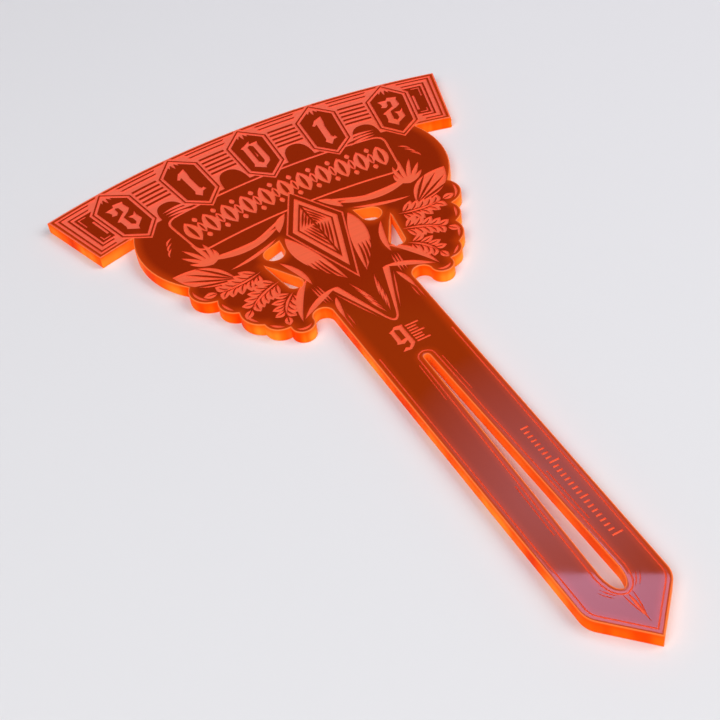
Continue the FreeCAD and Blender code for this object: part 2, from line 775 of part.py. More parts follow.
def crescents():
    """A line inside each small lobe of the head's edge, pointed at both ends."""
    parts = []
    start = grid(*LOBES[0][1])
    for via, notch in LOBES[1:-1]:
        end = grid(*notch)
        edge = arc(start, grid(*via), end)
        centre = edge.Curve.Center
        ends = []
        for share in (0.16, 0.84):
            place = edge.valueAt(edge.FirstParameter + share * edge.ParameterRange[1])
            ends.append(place + (centre - place).normalize() * LOBE_MARGIN)
        inward = (centre - grid(*via)).normalize()
        outer = grid(*via) + inward * LOBE_MARGIN
        inner = outer + inward * LOBE_CRESCENT
        parts.append(face([arc(ends[0], outer, ends[1]), arc(ends[1], inner, ends[0])]))
        start = end
    return parts


def leaves():
    """The leaf work of the head's right side."""
    parts = [
        # stem from the kite's shoulder, dipping under the ribbon, with a thin one below
        flame(grid(9.8, 42.6), grid(35.4, 42.0), 3.2, -3.2),
        flame(grid(12.4, 38.0), grid(29.6, 32.6), 1.4, -1.0),
        # flame along the kite's upper side
        flame(grid(5.4, 47.4), grid(10.6, 39.8), 2.6, 0.8),
        collar(),
        great_leaf(),
        # leaf between the windows, and the one that sweeps under the lower window
        flame(grid(16.6, 27.2), grid(12.6, 13.0), 1.8, -1.0),
        flame(grid(12.8, 16.2), grid(21.4, 0.6), 2.2, 1.6, 0.4),
    ]
    # plume at the end of the stem
    parts += fan(grid(32.6, 38.0), grid(36.8, 50.2), 6, 74, 1.5, 0.5)
    # sprays that fill the lobes
    parts += spray(grid(22.2, 27.0), grid(36.2, 25.4), -0.9, 5, 5.6, 2.6)
    parts += spray(grid(19.6, 20.0), grid(31.0, 13.6), 1.0, 5, 5.4, 2.5)
    parts += spray(grid(18.2, 13.6), grid(24.0, 5.4), 1.0, 4, 5.0, 2.3)
    parts += crescents()
    # strokes on the dome
    for number in range(3):
        low = grid(38.4 + 0.9 * number, 57.0 - 2.4 * number)
        high = grid(41.2 + 0.5 * number, 53.6 - 2.6 * number)
        parts.append(flame(low, high, 0.7, 0.6))
    # hatching at the foot of the plain column beside the collar
    for number in range(3):
        low = grid(10.9 + 0.9 * number, 3.4)
        parts.append(flame(low, grid(11.8 + 0.9 * number, 12.0), 0.6))
    # wing from the chevron's corner over the hollow, and the root of the border line
    parts.append(flame(grid(7.4, 8.4), grid(20.6, 1.2), 2.0, 1.0, 0.4))
    parts.append(flame(grid(9.4, 4.6), grid(11.1, -5.0), 1.4, 0.4, 0.3))
    return parts


def engraving():
    """Every engraved area of the top face, as one list of faces."""
    areas = [ground()]
    for step in range(-2, 3):
        for area in cartouche_lines(abs(step)):
            areas.append(turned(area, step * PITCH_ANGLE))
    covers = [turned(cartouche(), step * PITCH_ANGLE) for step in range(-2, 3)] + [kite()]
    areas += [area.cut(covers) for area in banner() + both_sides(ribbon_folds())]
    areas += kite_lines()
    areas += both_sides(bar_lines())
    areas += chevron()
    areas += [area.cut(covers) for area in both_sides(leaves())]
    areas += handle_lines() + spear() + nine() + scale()
    return areas


def outline():
    """The plate's plan: blade, head and handle in one, with its holes."""
    whole = joined([blade(), head(), handle()])
    return whole.cut([slot()] + both_sides(windows()))


if __name__ == "__main__":
    floor = Vec(0, 0, SHEET - ENGRAVING)
    depth = Vec(0, 0, 2 * ENGRAVING)
    recesses = [area.translated(floor).extrude(depth) for area in engraving()]
    plate = outline().extrude(Vec(0, 0, SHEET)).cut(recesses)
    (solid,) = plate.Solids
    print("faces", len(solid.Faces), "valid", solid.isValid(), "volume", solid.Volume)
    solid.exportStep("parts/ruler_plate.step")
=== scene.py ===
"""Looks of a laser-cut and engraved acrylic measuring ruler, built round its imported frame."""

from __future__ import annotations

import logging
import math
from collections.abc import Sequence
from dataclasses import dataclass
from enum import Enum
from typing import Any

import bpy
import numpy as np
from mathutils import Matrix, Quaternion, Vector
from mathutils.bvhtree import BVHTree
from mathutils.geometry import delaunay_2d_cdt

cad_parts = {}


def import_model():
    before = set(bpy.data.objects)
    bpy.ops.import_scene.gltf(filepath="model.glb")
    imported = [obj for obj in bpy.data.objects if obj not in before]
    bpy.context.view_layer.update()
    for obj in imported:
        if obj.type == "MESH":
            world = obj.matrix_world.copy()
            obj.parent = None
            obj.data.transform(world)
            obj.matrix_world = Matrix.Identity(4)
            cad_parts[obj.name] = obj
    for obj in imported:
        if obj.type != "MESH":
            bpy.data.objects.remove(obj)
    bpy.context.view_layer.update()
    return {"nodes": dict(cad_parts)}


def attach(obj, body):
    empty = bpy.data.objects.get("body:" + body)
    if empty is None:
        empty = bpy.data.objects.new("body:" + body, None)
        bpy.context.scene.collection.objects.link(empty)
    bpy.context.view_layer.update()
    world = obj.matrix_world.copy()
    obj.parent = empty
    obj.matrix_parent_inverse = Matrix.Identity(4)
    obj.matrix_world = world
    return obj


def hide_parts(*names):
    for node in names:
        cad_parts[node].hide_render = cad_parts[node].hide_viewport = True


LOG = logging.getLogger("ruler")
MM = 0.001
NODE = "ruler_plate"
RIM_FIELD = "rim_mm"  # each point's distance from the cut edge, in millimetres
FACED_FIELD = "faced"  # share of the directions outwards in which another wall stands near
SMOOTH = {"interpolation_type": "SMOOTHSTEP"}  # a range mapped smoothly, clamped at both ends


# ----------------------------------------------------------------------------- node helpers
def linear(colour: str) -> tuple[float, float, float, float]:
    """Turns an sRGB hex colour into the linear values that a shader takes. A value up to
    0.04045 is divided by 12.92. To a larger one 0.055 is added, and the sum is divided by
    1.055 and raised to the power of 2.4.

    Args:
        colour: six hex digits, such as "#8a2500".

    Returns:
        Red, green and blue, linear, and an alpha of 1.
    """
    values = [int(colour[start : start + 2], 16) / 255 for start in (1, 3, 5)]
    red, green, blue = (
        value / 12.92 if value <= 0.04045 else ((value + 0.055) / 1.055) ** 2.4
        for value in values
    )
    return (red, green, blue, 1.0)


def add_node(
    tree: bpy.types.NodeTree,
    kind: str,
    settings: dict[str, Any] | None = None,
    inputs: dict[int | str, Any] | Sequence[Any] = (),
) -> bpy.types.Node:
    """Adds one node with its settings and its inputs.

    Args:
        tree: the tree that the node goes into.
        kind: the node's type name without its "ShaderNode" beginning.
        settings: attributes to set on the node.
        inputs: values by socket name or number, or in the order of the sockets. Each is a
            plain value, an output socket, or a node whose first output is meant.

    Returns:
        The new node.
    """
    node = tree.nodes.new("ShaderNode" + kind)
    for name, value in (settings or {}).items():
        setattr(node, name, value)
    values = inputs if isinstance(inputs, dict) else dict(enumerate(inputs))
    for name, value in values.items():
        if isinstance(value, bpy.types.Node):
            value = value.outputs[0]
        if isinstance(value, bpy.types.NodeSocket):
            tree.links.new(value, node.inputs[name])
        else:
            node.inputs[name].default_value = value
    return node


def blank_material(name: str) -> tuple[bpy.types.Material, bpy.types.NodeTree]:
    """Makes a material with an empty node tree.

    Args:
        name: the finish's common name.

    Returns:
        The material and its tree.
    """
    material = bpy.data.materials.new(name)
    material.use_nodes = True
    material.node_tree.nodes.clear()
    return material, material.node_tree


def streaks(
    tree: bpy.types.NodeTree,
    pitch: tuple[float, float, float],
    detail: float = 2.0,
    shift: float = 0.0,
) -> bpy.types.Node:
    """Noise whose grains are as long in each direction as its pitch there.

    Args:
        tree: the material's tree.
        pitch: grain size in millimetres along x, y and z.
        detail: octaves of finer noise on top.
        shift: how many grains the noise is moved along each direction.

    Returns:
        The noise's node, whose first output is about 0 to 1 round a mean of 0.5.
    """
    place = add_node(tree, "TexCoord").outputs["Object"]
    scale = tuple(1 / (size * MM) for size in pitch)
    spot = {"Vector": place, "Scale": scale, "Location": (shift,) * 3}
    mapped = add_node(tree, "Mapping", inputs=spot)
    grains = {"Vector": mapped, "Scale": 1.0, "Detail": detail}
    return add_node(tree, "TexNoise", inputs=grains)


def wandering_height(tree: bpy.types.NodeTree, grain: float) -> bpy.types.Node:
    """Height above the handle's point in millimetres, moved up and down by a noise, so that
    a tint that follows it has no straight border. It is y in millimetres, plus the range of
    the wander times the noise less a half.

    Args:
        tree: the material's tree.
        grain: size of the noise's grains in millimetres.

    Returns:
        The node whose first output is the height.
    """
    wander = 60.0  # how far the noise's whole range moves the height, in millimetres
    place = add_node(tree, "TexCoord").outputs["Object"]
    along = add_node(tree, "SeparateXYZ", inputs=[place]).outputs["Y"]
    multiply_add = {"operation": "MULTIPLY_ADD"}
    lowest = add_node(tree, "Math", multiply_add, [along, 1 / MM, -wander / 2])
    noise = streaks(tree, (grain,) * 3, detail=1.0)
    return add_node(tree, "Math", multiply_add, [noise, wander, lowest])


@dataclass(frozen=True)
class Tint:
    """A colour that comes in as some value goes from one limit to another.

    Attributes:
        colour: its sRGB hex colour.
        begins: the value at which it begins to show.
        full: the value at which it shows most, which may be the lower one.
        share: how much of it shows there.
    """

    colour: str
    begins: float
    full: float
    share: float = 1.0


def tinted(
    tree: bpy.types.NodeTree,
    colour: bpy.types.NodeSocket | bpy.types.Node | tuple[float, float, float, float],
    tints: Sequence[tuple[bpy.types.NodeSocket | bpy.types.Node, Tint]],
) -> bpy.types.NodeSocket:
    """Lays tints over a colour, one after another. Each is mixed in by a share that goes
    smoothly from 0 to its own between its two limits.

    Args:
        tree: the material's tree.
        colour: the colour under all of them.
        tints: the value that each tint follows, and the tint.

    Returns:
        The colour that comes out.
    """
    share_socket, under_socket, over_socket, result_socket = 0, 6, 7, 2
    for value, tint in tints:
        limits = [value, tint.begins, tint.full, 0.0, tint.share]
        share = add_node(tree, "MapRange", SMOOTH, limits)
        layers = {share_socket: share, under_socket: colour, over_socket: linear(tint.colour)}
        mixed = add_node(tree, "Mix", {"data_type": "RGBA"}, layers)
        colour = mixed.outputs[result_socket]
    return colour


# --------------------------------------------------------------------------------- finishes
@dataclass(frozen=True)
class PolishedAcrylic:
    """Cast fluorescent acrylic as it leaves the glass mould: deep red and very glossy. A narrow
    band near the cut edges is painted brighter, a painted glow that stands for the light the
    sheet traps leaving there, and right beside the edges lies a painted highlight.
    The broad head is a little deeper than the handle.

    Attributes:
        body: colour of the handle.
        head: tint of the head, by millimetres above the handle's point.
        edge_glow_band: painted glow near the cut edges, by millimetres from them.
        edge: painted highlight right beside the cut edges, by millimetres from them.
        cloud_mm: size of the clouds in the border between handle and head.
        haze_mm: size of the patches in which the gloss differs.
        haze: values of their noise between which it changes.
        roughness: roughness at those two values.
        ior: the usual one of acrylic.
    """

    body: str = "#9a2f03"
    head: Tint = Tint("#932501", 116.0, 140.0)
    # painted glow: a brighter band along the cut edges
    edge_glow_band: Tint = Tint("#c03a06", 3.6, 0.0)
    # painted highlight of the rounded rim, right beside the cut edges
    edge: Tint = Tint("#e87a44", 0.55, 0.2, 0.8)
    cloud_mm: float = 40.0
    haze_mm: float = 9.0
    haze: tuple[float, float] = (0.3, 0.8)
    roughness: tuple[float, float] = (0.021, 0.045)
    ior: float = 1.49

    def build(self) -> bpy.types.Material:
        """Makes the finish.

        Returns:
            The material.
        """
        material, tree = blank_material("polished_cast_acrylic")
        height = wandering_height(tree, self.cloud_mm)
        rim = add_node(tree, "Attribute", {"attribute_name": RIM_FIELD}).outputs["Fac"]
        # the head's tint, the painted glow band and the painted highlight beside the cut edges
        tints = [(height, self.head), (rim, self.edge_glow_band), (rim, self.edge)]
        colour = tinted(tree, linear(self.body), tints)
        haze = streaks(tree, (self.haze_mm,) * 3, detail=3.0)
        rough = add_node(tree, "MapRange", SMOOTH, [haze, *self.haze, *self.roughness])
        look = {"Base Color": colour, "IOR": self.ior, "Roughness": rough}
        shader = add_node(tree, "BsdfPrincipled", inputs=look)
        add_node(tree, "OutputMaterial", inputs={"Surface": shader})
        return material


@dataclass(frozen=True)
class EngravedAcrylic:
    """Acrylic frosted by a laser that scans across the plate: pale, matt and faintly ruled.
    It is painted paler on the blade, a painted sheen, and a painted highlight lies right beside
    the cut edges. Such ruling has a pitch of about 0.2 mm, and is drawn at twice that, so that
    it shows.

    Attributes:
        warm: colour on the handle and the head.
        blade: painted sheen on the blade, by millimetres above the handle's point.
        edge: painted highlight right beside the cut edges, by millimetres from them.
        ruling: tint of the ruling's lines, by the value of its noise.
        patch_mm: size of the patches in the border between head and blade.
        scan_mm: size of the ruling's grains along x, y and z.
        groove_depth_mm: depth of its grooves.
        relief: strength of their bump.
        roughness: that of a frosted surface.
        ior: the usual one of acrylic.
    """

    warm: str = "#f6623a"
    # painted sheen: the blade is painted paler
    blade: Tint = Tint("#f7674a", 182.0, 202.0)
    # painted highlight of the rounded rim, right beside the cut edges
    edge: Tint = Tint("#ff8a58", 0.55, 0.2, 0.7)
    ruling: Tint = Tint("#000000", 0.7, 0.3, 0.06)
    patch_mm: float = 26.0
    scan_mm: tuple[float, float, float] = (30.0, 0.45, 30.0)
    groove_depth_mm: float = 0.05
    relief: float = 0.5
    roughness: float = 0.62
    ior: float = 1.49

    def build(self) -> bpy.types.Material:
        """Makes the finish.

        Returns:
            The material.
        """
        material, tree = blank_material("laser_frosted_acrylic")
        height = wandering_height(tree, self.patch_mm)
        rim = add_node(tree, "Attribute", {"attribute_name": RIM_FIELD}).outputs["Fac"]
        scan = streaks(tree, self.scan_mm, detail=1.0)
        # painted sheen on the blade and painted highlight beside the cut edges, then the ruling
        tints = [(height, self.blade), (rim, self.edge), (scan, self.ruling)]
        grooves = {
            "Strength": self.relief,
            "Distance": self.groove_depth_mm * MM,
            "Height": scan,
        }
        look = {
            "Base Color": tinted(tree, linear(self.warm), tints),
            "IOR": self.ior,
            "Roughness": self.roughness,
            "Normal": add_node(tree, "Bump", inputs=grooves),
        }
        shader = add_node(tree, "BsdfPrincipled", inputs=look)
        add_node(tree, "OutputMaterial", inputs={"Surface": shader})
        return material


@dataclass(frozen=True)
class CutEdge:
    """The laser's cut through the sheet: fire-polished, with fine upright ripples, and given a
    painted glow (emission) that stands for the light that the fluorescent sheet traps.
    Its colour holds painted light too: walls that face the lit side are painted lighter, in an
    opening each wall is painted lighter by the light of the wall that it faces, and painted
    highlights run along its upper and lower rims.
    Such ripples have a pitch of about 0.3 mm, and are drawn at twice that, so that they show.

    Attributes:
        tones: values of the patches' noise and the colours there, from dark to hot.
        patch_mm: size of the patches along x, y and z.
        patch_shift: how many patches they are moved along each direction.
        lit: painted light on walls that face the lit side, by the cosine of the angle to it.
        lit_side: direction of the lit side, one unit long.
        upper: tint towards the upper face, by millimetres above the rest face.
        faced: painted bounce light where another wall is near, by the share of directions it
            takes up.
        lower_rim_highlight: painted highlight along the rest face, by millimetres above it.
        upper_rim_highlight: painted highlight along the upper face, in the same way.
        shaded: shares of directions between which the wall's painted glow changes.
        glow: strength of the painted glow (emission) at those two shares.
        ripple_mm: size of the ripples along x, y and z.
        ripple_depth_mm: their depth.
        relief: strength of their bump.
        gloss: specular level, low because the ripples scatter what the edge reflects.
        roughness: that of a melted edge, with the ripples that are too fine to draw.
        ior: the usual one of acrylic.
    """

    tones: tuple[tuple[float, str], ...] = (
        (0.26, "#d43206"),
        (0.36, "#f24000"),
        (0.5, "#fc6006"),
        (0.68, "#ff8a22"),
    )
    patch_mm: tuple[float, float, float] = (5.5, 13.2, 60.0)
    patch_shift: float = 5.0
    # painted light: walls that face the lit side are painted lighter
    lit: Tint = Tint("#ff9a30", 0.6, 1.0, 0.6)
    lit_side: tuple[float, float, float] = (0.6, -0.8, 0.0)
    upper: Tint = Tint("#f24000", 1.6, 4.0, 0.6)
    # painted bounce light: a wall is painted lighter where another wall faces it
    faced: Tint = Tint("#ff8626", 0.7, 0.9, 0.8)
    # painted highlights along the lower and upper rims
    lower_rim_highlight: Tint = Tint("#f87c40", 0.35, 0.0, 0.7)
    upper_rim_highlight: Tint = Tint("#f87c40", 3.65, 4.0, 0.7)
    # painted glow (emission), weaker where a facing wall stands near
    shaded: tuple[float, float] = (0.3, 0.6)
    glow: tuple[float, float] = (0.25, 0.1)
    ripple_mm: tuple[float, float, float] = (0.6, 0.6, 30.0)
    ripple_depth_mm: float = 0.08
    relief: float = 0.6
    gloss: float = 0.01
    roughness: float = 0.35
    ior: float = 1.49

    def patches(self, tree: bpy.types.NodeTree) -> bpy.types.Node:
        """Adds the patches of brighter and darker glow along the edge.

        Args:
            tree: the material's tree.

        Returns:
            The node whose first output is their colour.
        """
        patch = streaks(tree, self.patch_mm, shift=self.patch_shift)
        ramp = add_node(tree, "ValToRGB", inputs=[patch])
        stops = ramp.color_ramp.elements
        while len(stops) < len(self.tones):
            stops.new(0.5)  # its own position is set below
        for stop, (position, colour) in zip(stops, self.tones):
            stop.position, stop.color = position, linear(colour)
        return ramp

    def build(self) -> bpy.types.Material:
        """Makes the finish.

        Returns:
            The material.
        """
        material, tree = blank_material("laser_cut_acrylic_edge")
        place = add_node(tree, "TexCoord")
        sides = [place.outputs["Normal"], self.lit_side]
        facing = add_node(tree, "VectorMath", {"operation": "DOT_PRODUCT"}, sides)
        faced = add_node(tree, "Attribute", {"attribute_name": FACED_FIELD}).outputs["Fac"]
        height = add_node(tree, "SeparateXYZ", inputs=[place.outputs["Object"]]).outputs["Z"]
        height_mm = add_node(tree, "Math", {"operation": "MULTIPLY"}, [height, 1 / MM])
        # painted light over the patches: the lit side, bounce from a facing wall, and
        # highlights along both rims
        tints = [
            (facing.outputs["Value"], self.lit),
            (height_mm, self.upper),
            (faced, self.faced),
            (height_mm, self.lower_rim_highlight),
            (height_mm, self.upper_rim_highlight),
        ]
        colour = tinted(tree, self.patches(tree), tints)
        # painted glow: emission of the wall's own colour, weaker where another wall faces it
        glow = add_node(tree, "MapRange", SMOOTH, [faced, *self.shaded, *self.glow])
        waves = {
            "Strength": self.relief,
            "Distance": self.ripple_depth_mm * MM,
            "Height": streaks(tree, self.ripple_mm),
        }
        look = {
            "Base Color": colour,
            "IOR": self.ior,
            "Specular IOR Level": self.gloss,
            "Roughness": self.roughness,
            "Normal": add_node(tree, "Bump", inputs=waves),
            "Emission Color": colour,
            "Emission Strength": glow,
        }
        shader = add_node(tree, "BsdfPrincipled", inputs=look)
        add_node(tree, "OutputMaterial", inputs={"Surface": shader})
        return material


class Slot(Enum):
    """The finishes of the plate, in the order of its material slots."""

    POLISHED = 0
    ENGRAVED = 1
    CUT = 2


FINISHES = {
    Slot.POLISHED: PolishedAcrylic(),
    Slot.ENGRAVED: EngravedAcrylic(),
    Slot.CUT: CutEdge(),
}


# ------------------------------------------------------------------------------------ plate
@dataclass
class Surface:
    """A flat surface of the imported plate, seen from above.

    Attributes:
        points: x and y of each point, in metres.
        triangles: three point numbers for each triangle, anticlockwise.
    """

    points: np.ndarray
    triangles: np.ndarray

    def covers(self, places: np.ndarray) -> np.ndarray:
        """Tells which places the surface covers: those from which a ray down meets it.

        Args:
            places: x and y of each place, in metres.

        Returns:
            True for each place that it covers.
        """
        flat = [(x, y, 0) for x, y in self.points / MM]
        tree = BVHTree.FromPolygons(flat, self.triangles.tolist())
        down = Vector((0, 0, -1))
        met = [tree.ray_cast(Vector((x, y, 1)), down)[2] for x, y in places / MM]
        return np.array([triangle is not None for triangle in met])


@dataclass
class Sheet:
    """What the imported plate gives: its flat surfaces and its three levels.

    Attributes:
        polished: the upper face without the engraving.
        underside: the rest face, which is the whole plan.
        top: height of the upper face, in metres.
        floor: height of the engraving's floor.
        bottom: height of the rest face.
    """

    polished: Surface
    underside: Surface
    top: float
    floor: float
    bottom: float


@dataclass
class Plan(Surface):
    """The whole plate seen from above, cut so that each triangle lies on one level.

    Attributes:
        engraved: for each triangle, whether it lies in the engraving.
        distance: each point's distance from the cut edge, in metres.
    """

    engraved: np.ndarray
    distance: np.ndarray


def merged(corners: np.ndarray) -> Surface:
    """Merges the loose corners of triangles that lie at the same place.

    Args:
        corners: x and y of each corner of each triangle.

    Returns:
        The surface, without triangles that have fewer than three corners left.
    """
    points, number = np.unique(corners.reshape(-1, 2), axis=0, return_inverse=True)
    triangles = number.reshape(-1, 3)
    whole = (np.diff(np.sort(triangles, axis=1), axis=1) > 0).all(axis=1)
    return Surface(points, triangles[whole])


def among(edges: np.ndarray, others: np.ndarray) -> np.ndarray:
    """Tells which edges are also in another list, in the same direction. Two edges are the
    same if their start times the number of points, plus their end, is.

    Args:
        edges: start and end point numbers.
        others: the same, to look in.

    Returns:
        True for each edge that is in it.
    """
    base = int(max(edges.max(), others.max())) + 1
    return np.isin(edges[:, 0] * base + edges[:, 1], others[:, 0] * base + others[:, 1])


def outline(triangles: np.ndarray) -> np.ndarray:
    """Finds the edges that only one triangle has.

    Args:
        triangles: three point numbers for each triangle, anticlockwise.

    Returns:
        Start and end of each edge, with the surface on its left.
    """
    edges = np.concatenate([triangles[:, [0, 1]], triangles[:, [1, 2]], triangles[:, [2, 0]]])
    return edges[~among(edges[:, ::-1], edges)]


def distance_to(
    edges: np.ndarray, line: np.ndarray, points: np.ndarray, reach: float
) -> np.ndarray:
    """Distance of each point from a set of edges. It is the least, over the edges, of the
    distance to the edge's nearest place, whose share of the edge is the offset's dot product
    with the edge over the edge's squared length, held between 0 and 1.

    Args:
        edges: start and end point numbers.
        line: x and y of the edges' points.
        points: x and y of each point to measure.
        reach: the largest distance that matters.

    Returns:
        One distance for each point, at most reach.
    """
    block = 1024  # points that are measured at once, to keep the arrays small
    start = line[edges[:, 0]]
    along = line[edges[:, 1]] - start
    length = (along**2).sum(axis=1)
    nearest = np.full(len(points), reach)
    for first in range(0, len(points), block):
        offset = points[first : first + block, None] - start[None]
        share = np.clip((offset * along).sum(axis=2) / length, 0, 1)
        away = offset - share[..., None] * along
        nearest[first : first + block] = np.sqrt((away**2).sum(axis=2)).min(axis=1)
    return np.minimum(nearest, reach)


def moved_inwards(
    points: np.ndarray, edges: np.ndarray, steps: tuple[float, ...]
) -> tuple[np.ndarray, np.ndarray]:
    """Copies of an outline, moved into its surface. Each point moves along the mean of its
    two edges' normals over that mean's squared length, which moves both edges by the step.

    Args:
        points: x and y of the outline's points.
        edges: start and end point numbers, with the surface on their left.
        steps: how far each copy is moved.

    Returns:
        The copies' points, and their edges.
    """
    least = 0.2  # squared length below which a sharp corner would move too far
    along = points[edges[:, 1]] - points[edges[:, 0]]
    along /= np.linalg.norm(along, axis=1, keepdims=True)
    inward = np.stack([-along[:, 1], along[:, 0]], axis=1)
    total = np.zeros_like(points)
    np.add.at(total, edges[:, 0], inward)
    np.add.at(total, edges[:, 1], inward)
    used, place = np.unique(edges, return_inverse=True)
    place = place.reshape(-1, 2)
    mean = total[used] / 2
    square = np.maximum((mean**2).sum(axis=1, keepdims=True), least)
    rows = [points[used] + mean / square * step for step in steps]
    lines = [place + number * len(used) for number in range(len(rows))]
    return np.concatenate(rows), np.concatenate(lines)


def band(edges: np.ndarray, lower: int, upper: int) -> np.ndarray:
    """Two triangles for each edge, from its lower row of points to its upper one.

    Args:
        edges: start and end point numbers, with the plate on their left.
        lower: number of the lower row's first point.
        upper: number of the upper row's first point.

    Returns:
        The triangles, which face to the edges' right.
    """
    start, end = edges[:, 0], edges[:, 1]
    first = np.stack([start + lower, end + lower, end + upper], axis=1)
    second = np.stack([start + lower, end + upper, start + upper], axis=1)
    return np.concatenate([first, second])


def faced_share(
    points: np.ndarray, edges: np.ndarray, reach: float, angles: np.ndarray
) -> np.ndarray:
    """Share of the directions outwards from each wall in which another wall stands near. A
    direction is the wall's outward normal times the cosine of its angle, plus the wall's own
    direction times the sine.

    Args:
        points: x and y of each point of the plan, in metres.
        edges: start and end point numbers of the walls, with the plate on their left.
        reach: how far another wall may be, in metres.
        angles: the directions that are tried, in radians from the wall's normal.

    Returns:
        The share from 0 to 1 for each point, which is 0 away from the walls.
    """
    clear = 0.01  # how far off its own wall a ray starts, in millimetres
    half = 1.0  # half the height of the walls that the rays meet
    places = points / MM
    count = len(edges)
    feet = np.concatenate([places[edges[:, 0]], places[edges[:, 1]]])
    low = np.column_stack([feet, np.full(2 * count, -half)])
    high = np.column_stack([feet, np.full(2 * count, half)])
    first = np.arange(count)
    quads = np.stack([first, first + count, first + 3 * count, first + 2 * count], axis=1)
    walls = BVHTree.FromPolygons(np.concatenate([low, high]).tolist(), quads.tolist())
    along = places[edges[:, 1]] - places[edges[:, 0]]
    along /= np.linalg.norm(along, axis=1, keepdims=True)
    middle = places[edges].mean(axis=1)
    total = np.zeros(len(points))
    seen = np.zeros(len(points))
    for edge, (x, y), (u, v) in zip(edges, middle, along):
        start = Vector((x + clear * v, y - clear * u, 0))
        hits = 0
        for angle in angles:
            c, s = math.cos(angle), math.sin(angle)
            toward = Vector((v * c + u * s, v * s - u * c, 0))
            hits += walls.ray_cast(start, toward, reach / MM)[0] is not None
        total[edge] += hits / len(angles)
        seen[edge] += 1
    return total / np.maximum(seen, 1)


